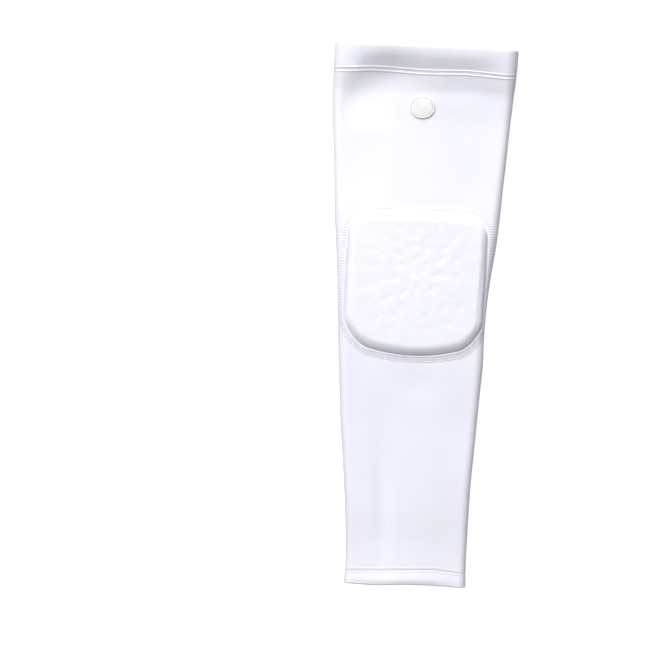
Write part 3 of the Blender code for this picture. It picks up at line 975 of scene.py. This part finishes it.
def add_sewn_band(nodes, weave, colour):
    """Presses the cloth down between the ladder stitch's bars, with painted shade there and in the
    crease at the pad's foot.
    """
    sewing = nodes.add("ShaderNodeUVMap", uv_map="sewing")
    place = nodes.add("ShaderNodeSeparateXYZ")
    nodes.link(sewing.outputs["UV"], place.inputs["Vector"])
    turn = nodes.math("MULTIPLY", place.outputs["X"], math.tau)
    between = nodes.math("MULTIPLY_ADD", nodes.math("COSINE", turn), -0.5, 0.5)
    middle = (LADDER_INNER + LADDER_OUTER) / 2
    reach = (LADDER_INNER - LADDER_OUTER) / 2 + LADDER_THREAD / 2
    off = nodes.math("ABSOLUTE", nodes.math("SUBTRACT", place.outputs["Y"], middle))
    inside = nodes.math("MULTIPLY", nodes.math("SUBTRACT", reach, off), 1 / LADDER_THREAD)
    sunk = nodes.math("MULTIPLY", between, nodes.clamped(inside))
    nodes.bump(nodes.math("MULTIPLY", sunk, -1.0), STITCH_SINK, under=weave)
    # painted shade between the stitch bars, where the cloth is pressed down
    darker = nodes.darkened(colour, sunk, PAINTED_STITCH_SHADE)
    # painted shade in the crease at the pad's foot
    creased = nodes.darkened(darker, crease_share(nodes, place.outputs["Y"]), PAINTED_CREASE_SHADE)
    nodes.link(creased, nodes.shader.inputs["Base Color"])


def crease_share(nodes, inset):
    """Share of the painted shade in the crease at the pad's foot, which is deepest along its two sides.
    """
    off = nodes.math("ABSOLUTE", nodes.math("SUBTRACT", inset, CREASE_INSET))
    narrow = nodes.math("MULTIPLY_ADD", off, -1 / CREASE_SHADE_WIDTH, 1.0)
    place = nodes.add("ShaderNodeSeparateXYZ")
    nodes.link(nodes.object_place(), place.inputs["Vector"])
    pad_middle = MIDDLE_FROM_MOUTH - PAD_FROM_MOUTH
    beyond = nodes.math("ABSOLUTE", nodes.math("SUBTRACT", place.outputs["Y"], pad_middle))
    fade = 1 / CREASE_SHADE_FADE
    beside = nodes.math("MULTIPLY_ADD", beyond, -fade, CREASE_SHADE_REACH * fade)
    return nodes.math("MULTIPLY", nodes.clamped(narrow), nodes.clamped(beside))


def thread_finish():
    """Sewing thread: a fine twist along each stitch, with painted shade in the twist's grooves."""
    nodes = Nodes("sewing_thread", 0.55, (0.84, 0.84, 0.90))
    nodes.shader.inputs["Sheen Weight"].default_value = 0.1
    twist = nodes.add("ShaderNodeTexWave", wave_type="BANDS", bands_direction="DIAGONAL")
    twist.inputs["Scale"].default_value = 900.0
    twist.inputs["Distortion"].default_value = 2.0
    nodes.link(nodes.object_place(), twist.inputs["Vector"])
    nodes.bump(twist.outputs["Fac"], 0.00006)
    # painted shade: darker in the twist's grooves
    nodes.colours(twist.outputs["Fac"], (0.80, 0.80, 0.87), (0.87, 0.87, 0.92), 0.2, 0.8)
    return nodes.material


def foam_finish():
    """Closed-cell foam: small pits of uneven size, with painted shade darkening their hollows."""
    nodes = Nodes("pad_foam", 0.9, (0.82, 0.82, 0.80))
    cells = nodes.add("ShaderNodeTexVoronoi", feature="F1")
    cells.inputs["Scale"].default_value = 1400.0
    nodes.link(nodes.object_place(), cells.inputs["Vector"])
    nodes.bump(cells.outputs["Distance"], 0.0002)
    # painted shade: darker where the pits sink
    nodes.colours(cells.outputs["Distance"], (0.76, 0.76, 0.74), (0.84, 0.84, 0.82), 0.1, 0.6)
    return nodes.material


def silicone_finish():
    """Printed silicone: smooth and slightly glossy, with a faint orange-peel surface."""
    nodes = Nodes("badge_silicone", 0.38, (0.84, 0.845, 0.835))
    nodes.shader.inputs["Subsurface Weight"].default_value = 0.15
    nodes.shader.inputs["Subsurface Scale"].default_value = 0.001
    peel = nodes.noise(nodes.object_place(), 900.0, 2.0)
    nodes.bump(peel, 0.00004)
    tone = nodes.noise(nodes.object_place(), 140.0, 1.0)
    nodes.colours(tone, (0.82, 0.825, 0.815), (0.86, 0.865, 0.855))
    return nodes.material


# Studio


def make_floor():
    """A white table that glows, as a lit acrylic sheet does, so that shadows on it stay faint."""
    shape = bmesh.new()
    bmesh.ops.create_grid(shape, x_segments=1, y_segments=1, size=TABLE_SIZE)
    bmesh.ops.translate(shape, verts=shape.verts, vec=(0.0, 0.0, TABLE_HEIGHT))
    mesh = bpy.data.meshes.new("table")
    shape.to_mesh(mesh)
    shape.free()
    floor = bpy.data.objects.new("table", mesh)
    bpy.context.scene.collection.objects.link(floor)
    nodes = Nodes("lit_table", 0.9, (0.30, 0.30, 0.30))
    nodes.shader.inputs["Emission Color"].default_value = (1.0, 1.0, 1.0, 1.0)
    nodes.shader.inputs["Emission Strength"].default_value = TABLE_GLOW
    nodes.shader.inputs["Specular IOR Level"].default_value = 0.0
    mesh.materials.append(nodes.material)
    floor.visible_diffuse = False


def make_world():
    """Soft light from all of the upper half, and dimmer light from below the table's level."""
    world = bpy.data.worlds.new("studio")
    bpy.context.scene.world = world
    world.use_nodes = True
    tree = world.node_tree
    background = tree.nodes["Background"]
    background.inputs["Strength"].default_value = ROOM_LIGHT
    direction = tree.nodes.new("ShaderNodeTexCoord")
    split = tree.nodes.new("ShaderNodeSeparateXYZ")
    ramp = tree.nodes.new("ShaderNodeValToRGB")
    ramp.color_ramp.elements[0].position = 0.44
    ramp.color_ramp.elements[0].color = (0.62, 0.62, 0.66, 1.0)
    ramp.color_ramp.elements[1].position = 0.52
    ramp.color_ramp.elements[1].color = (1.0, 1.0, 1.0, 1.0)
    height = tree.nodes.new("ShaderNodeMath")
    height.operation = "MULTIPLY_ADD"
    height.inputs[1].default_value = 0.5
    height.inputs[2].default_value = 0.5
    tree.links.new(direction.outputs["Generated"], split.inputs["Vector"])
    tree.links.new(split.outputs["Z"], height.inputs[0])
    tree.links.new(height.outputs[0], ramp.inputs["Fac"])
    tree.links.new(ramp.outputs["Color"], background.inputs["Color"])


def make_softbox():
    """A broad soft light that faces the sleeve's middle."""
    light = bpy.data.lights.new("window_light", "AREA")
    light.shape = "RECTANGLE"
    light.size, light.size_y = SOFTBOX_SIZE
    light.energy = SOFTBOX_POWER
    lamp = bpy.data.objects.new("window_light", light)
    lamp.location = SOFTBOX_PLACE
    lamp.rotation_euler = (-SOFTBOX_PLACE).to_track_quat("-Z", "Y").to_euler()
    bpy.context.scene.collection.objects.link(lamp)


def make_camera():
    """Straight above the photograph's middle, turned so that the sleeve leans as it does there."""
    lens = bpy.data.cameras.new("camera")
    lens.sensor_width = SENSOR * 1000
    lens.lens = SENSOR * 1000 * CAMERA_HEIGHT / (PHOTO_SIDE * PHOTO_SCALE)
    camera = bpy.data.objects.new("camera", lens)
    camera.location = VIEW_CENTRE + Vector((0.0, 0.0, CAMERA_HEIGHT))
    camera.rotation_euler = (0.0, 0.0, SLEEVE_TILT)
    bpy.context.scene.collection.objects.link(camera)
    bpy.context.scene.camera = camera


def main():
    knit = knit_finish(
        "sleeve_knit",
        low=(0.835, 0.836, 0.925),
        high=(0.860, 0.861, 0.948),
        roughness=0.62,
        wale=0.00055,
        course=0.00065,
        depth=0.00006,
    )
    cover = knit_finish(
        "pad_knit",
        low=(0.850, 0.852, 0.935),
        high=(0.870, 0.872, 0.950),
        roughness=0.58,
        wale=0.00050,
        course=0.00060,
        depth=0.00005,
        sewn=True,
    )
    thread = thread_finish()
    make_knit_tube(knit)
    upper_length = UPPER_HEM - SEAM_GAP / 2
    wrist_length = WRIST_HEM - SEAM_GAP / 2
    upper_rows = hem_rows(upper_length, "upper")
    wrist_rows = hem_rows(wrist_length, "wrist")
    make_hem(
        "upper_hem_knit", "upper_hem", upper_rows, upper_length, UPPER_RIDGE, lambda d: d, knit
    )
    make_hem(
        "wrist_hem_knit",
        "wrist_hem",
        wrist_rows,
        wrist_length,
        WRIST_RIDGE,
        lambda d: SLEEVE_LENGTH - d,
        knit,
    )
    make_pad(cover, foam_finish())
    make_ladder_stitching(thread)
    make_hem_stitching("upper_hem_stitching", UPPER_HEM, UPPER_RIDGE, HEM_THREAD / 8, thread)
    wrist_seam = SLEEVE_LENGTH - WRIST_HEM
    make_hem_stitching("wrist_hem_stitching", wrist_seam, WRIST_RIDGE, -HEM_THREAD / 5, thread)
    make_badge(silicone_finish())

    make_floor()
    make_world()
    make_softbox()
    make_camera()
    bpy.context.scene.view_settings.view_transform = "Standard"


main()
